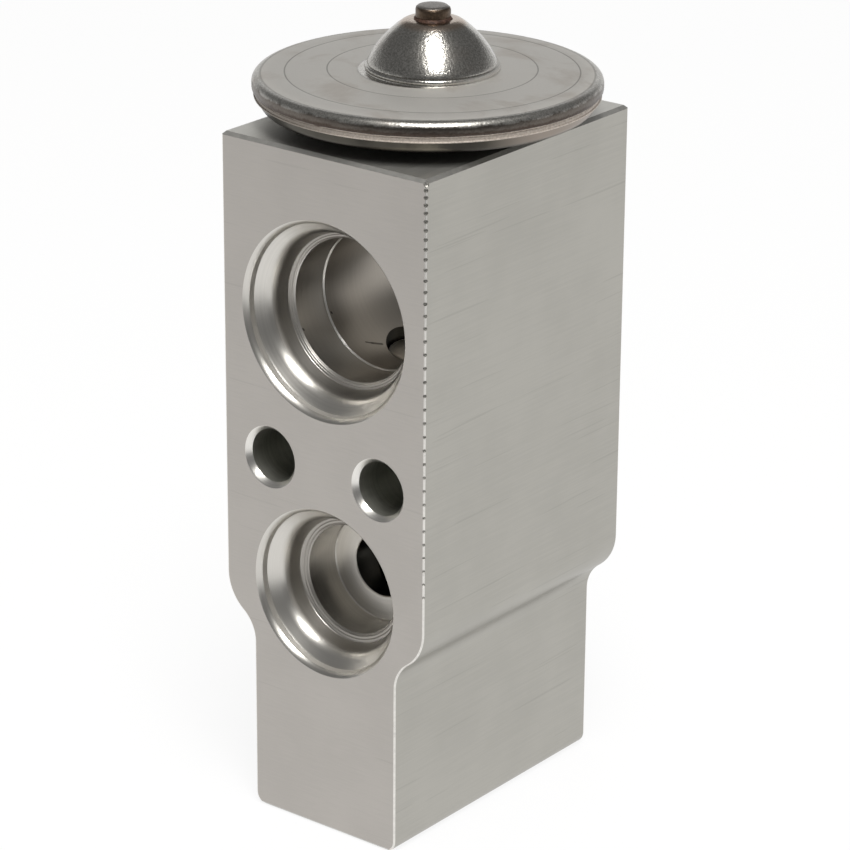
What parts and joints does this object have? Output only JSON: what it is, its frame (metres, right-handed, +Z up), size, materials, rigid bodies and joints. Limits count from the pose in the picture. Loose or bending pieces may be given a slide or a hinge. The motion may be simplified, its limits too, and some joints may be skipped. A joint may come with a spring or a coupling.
{
  "type": "block expansion valve",
  "caption": "Machined aluminium block expansion valve with a round diaphragm power element on top, stepped ports front and back, and the rod, ball and spring inside.",
  "frame": {"origin": "middle of the block's foot, on the axis of the power element and the rod", "axes": "+Z up to the power element; -Y out of the port face with the inlet; +X to the right as seen when facing that port face"},
  "size_m": [0.0364, 0.0364, 0.0878],
  "materials": {
    "block_aluminium": "machined faces, extruded sides",
    "cover_steel": "satin stainless with a faint brown tarnish",
    "plug_steel": "dark heat-tinted steel",
    "bright_steel": "ground",
    "spring_steel": "drawn",
    "brass": "turned",
    "rod_aluminium": "turned",
    "rubber": "moulded"
  },
  "bodies": {
    "valve_block": {"valve_body": "block_aluminium", "lower_cover": "cover_steel", "upper_cover": "cover_steel", "mounting_collar": "cover_steel", "charge_plug": "plug_steel", "element_seal": "rubber", "diaphragm": "spring_steel", "rod_seal": "rubber", "seal_retainer": "bright_steel", "valve_seat": "bright_steel", "superheat_spring": "spring_steel"},
    "valve_stem": {"stop_plate": "brass", "sensing_rod": "rod_aluminium", "push_pin": "bright_steel", "valve_ball": "bright_steel", "ball_carrier": "bright_steel", "damping_spring": "spring_steel"},
    "seal_carrier": {"screw_seal": "rubber"},
    "adjuster": {"adjusting_screw": "brass"}
  },
  "joints": [
    {"name": "valve_stroke", "type": "slide", "parent": "valve_block", "child": "valve_stem", "axis": [0, 0, 1], "range_m": [0, 0.0007], "stiffness_N_per_m": 100, "springref_m": -0.002, "deforming": ["superheat_spring", "diaphragm"]},
    {"name": "adjuster_travel", "type": "slide", "parent": "valve_block", "child": "seal_carrier", "axis": [0, 0, 1], "range_m": [-0.00105, 0]},
    {"name": "adjuster_turn", "type": "hinge", "parent": "seal_carrier", "child": "adjuster", "pos_m": [0, 0, 0.00475], "axis": [0, 0, 1], "range_deg": [-360, 0]}
  ],
  "couplings": [
    {"joint": "adjuster_travel", "follows": "adjuster_turn", "m_per_rad": 0.00015915}
  ]
}
